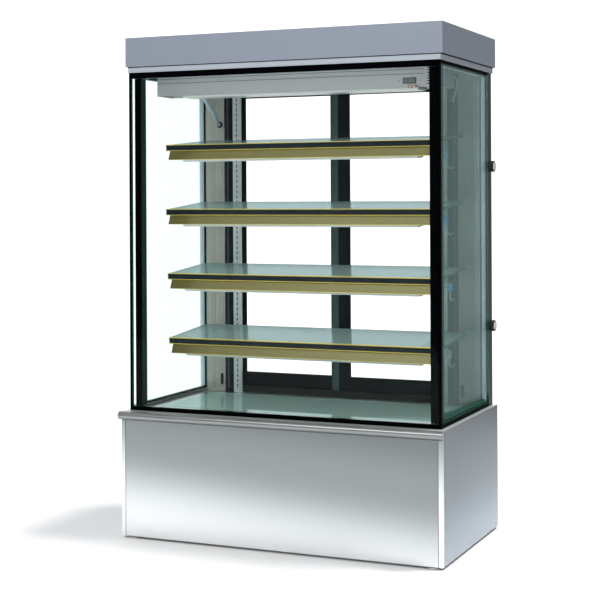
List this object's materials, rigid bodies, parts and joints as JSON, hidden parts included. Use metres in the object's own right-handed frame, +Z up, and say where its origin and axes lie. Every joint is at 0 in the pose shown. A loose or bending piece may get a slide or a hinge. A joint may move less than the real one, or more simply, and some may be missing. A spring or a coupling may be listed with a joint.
{
  "type": "refrigerated bakery display case",
  "caption": "Upright refrigerated bakery display case with a stainless machine base, glazed cabinet, sloping lit glass shelves and rear sliding doors.",
  "frame": {"origin": "on the floor, under the middle of the overall box", "axes": "+X to the right along the front, +Y from the glass front to the rear doors, +Z up"},
  "size_m": [1.21, 0.66, 1.78],
  "materials": {
    "frame_steel": "powder coated",
    "zinc_steel": "zinc plated sheet",
    "stainless": "vertical brushed stainless sheet",
    "bright_strip": "bright polished strip",
    "worktop_steel": "polished stainless",
    "tank_liner": "satin stainless double skin",
    "coil_fins": "bare aluminium fins",
    "fan_plastic": "moulded",
    "black_enamel": "gloss enamel",
    "copper": "drawn copper tube",
    "dark_plastic": "moulded",
    "white_plastic": "moulded",
    "red_plastic": "moulded",
    "deck_steel": "satin stainless",
    "deck_glass": "green tinted, mirror like",
    "black_profile": "satin black anodised",
    "clear_glass": "polished",
    "side_glass": "green tinted, polished",
    "spacer_black": "sealant",
    "column_steel": "satin stainless",
    "upright_steel": "bright zinc",
    "shelf_glass": "pale green polished",
    "gold_rail": "gold anodised",
    "gold_reflector": "gold anodised, satin",
    "lamp_white": "frosted white tube",
    "opal_diffuser": "opal",
    "lead_sleeve": "pale grey sleeve",
    "blue_plug": "moulded",
    "lamp_body": "satin silver",
    "lcd_bezel": "liquid crystal window",
    "canopy_trim": "satin lavender grey",
    "canopy_steel": "satin lavender grey",
    "knob_black": "moulded"
  },
  "bodies": {
    "case": {"base_frame": "frame_steel", "floor_pan": "zinc_steel", "front_panel": "stainless", "corner_strips": "bright_strip", "side_panels": "stainless", "rear_grille": "stainless", "worktop": "worktop_steel", "bullnose": "worktop_steel", "insulated_tank": "tank_liner", "evaporator_coil": "coil_fins", "evaporator_motor": "zinc_steel", "compressor": "black_enamel", "condenser_coil": "coil_fins", "condenser_shroud": "black_enamel", "copper_pipes": "copper", "drain_tray": "dark_plastic", "drain_pipe": "white_plastic", "control_box": "zinc_steel", "power_inlet": "dark_plastic", "levelling_feet": "zinc_steel", "deck_frame": "deck_steel", "deck_glass": "deck_glass", "glazing_rails": "black_profile", "front_posts": "black_profile", "rear_frame": "black_profile", "front_glass": "clear_glass", "side_glass_left": "side_glass", "side_glass_right": "side_glass", "edge_spacers": "spacer_black", "inner_columns": "column_steel", "slotted_uprights": "upright_steel", "door_jambs": "black_profile", "shelf_brackets": "upright_steel", "lamp_housings": "gold_reflector", "lamp_tubes": "lamp_white", "lamp_diffusers": "opal_diffuser", "lamp_leads": "lead_sleeve", "lamp_connectors": "blue_plug", "ceiling_light": "lamp_body", "thermometer": "lcd_bezel", "top_panel": "canopy_trim", "canopy": "canopy_steel"},
    "door_left": {"door_left_frame": "black_profile", "door_left_glass": "clear_glass"},
    "door_right": {"door_right_frame": "black_profile", "door_right_glass": "clear_glass"},
    "condenser_rotor": {"condenser_fan": "fan_plastic"},
    "evaporator_rotor": {"evaporator_fan": "fan_plastic"},
    "power_rocker": {"power_switch": "red_plastic"},
    "light_rocker": {"light_switch": "dark_plastic"},
    "knob_upper": {"knob_upper": "knob_black"},
    "knob_lower": {"knob_lower": "knob_black"},
    "shelf_1": {"shelf_glass_1": "shelf_glass", "price_rail_1": "gold_rail"},
    "shelf_2": {"shelf_glass_2": "shelf_glass", "price_rail_2": "gold_rail"},
    "shelf_3": {"shelf_glass_3": "shelf_glass", "price_rail_3": "gold_rail"},
    "shelf_4": {"shelf_glass_4": "shelf_glass", "price_rail_4": "gold_rail"}
  },
  "joints": [
    {"name": "door_left_slide", "type": "slide", "parent": "case", "child": "door_left", "axis": [1, 0, 0], "range_m": [0, 0.43]},
    {"name": "door_right_slide", "type": "slide", "parent": "case", "child": "door_right", "axis": [1, 0, 0], "range_m": [-0.43, 0]},
    {"name": "condenser_fan_spin", "type": "hinge", "parent": "case", "child": "condenser_rotor", "pos_m": [-0.1, 0.22, 0.13], "axis": [0, -1, 0], "continuous": true},
    {"name": "evaporator_fan_spin", "type": "hinge", "parent": "case", "child": "evaporator_rotor", "pos_m": [0.115, 0, 0.35], "axis": [1, 0, 0], "continuous": true},
    {"name": "power_switch_rock", "type": "hinge", "parent": "case", "child": "power_rocker", "pos_m": [-0.43, 0.3225, 0.384], "axis": [-1, 0, 0], "range_deg": [0, 14]},
    {"name": "light_switch_rock", "type": "hinge", "parent": "case", "child": "light_rocker", "pos_m": [-0.376, 0.3225, 0.384], "axis": [-1, 0, 0], "range_deg": [0, 14]},
    {"name": "knob_upper_turn", "type": "hinge", "parent": "case", "child": "knob_upper", "pos_m": [0.594, 0.2806, 1.316], "axis": [1, 0, 0], "continuous": true},
    {"name": "knob_lower_turn", "type": "hinge", "parent": "case", "child": "knob_lower", "pos_m": [0.594, 0.2806, 0.74], "axis": [1, 0, 0], "continuous": true},
    {"name": "shelf_1_lift", "type": "slide", "parent": "case", "child": "shelf_1", "axis": [0, 0, 1], "range_m": [0, 0.06]},
    {"name": "shelf_2_lift", "type": "slide", "parent": "case", "child": "shelf_2", "axis": [0, 0, 1], "range_m": [0, 0.06]},
    {"name": "shelf_3_lift", "type": "slide", "parent": "case", "child": "shelf_3", "axis": [0, 0, 1], "range_m": [0, 0.06]},
    {"name": "shelf_4_lift", "type": "slide", "parent": "case", "child": "shelf_4", "axis": [0, 0, 1], "range_m": [0, 0.06]}
  ]
}
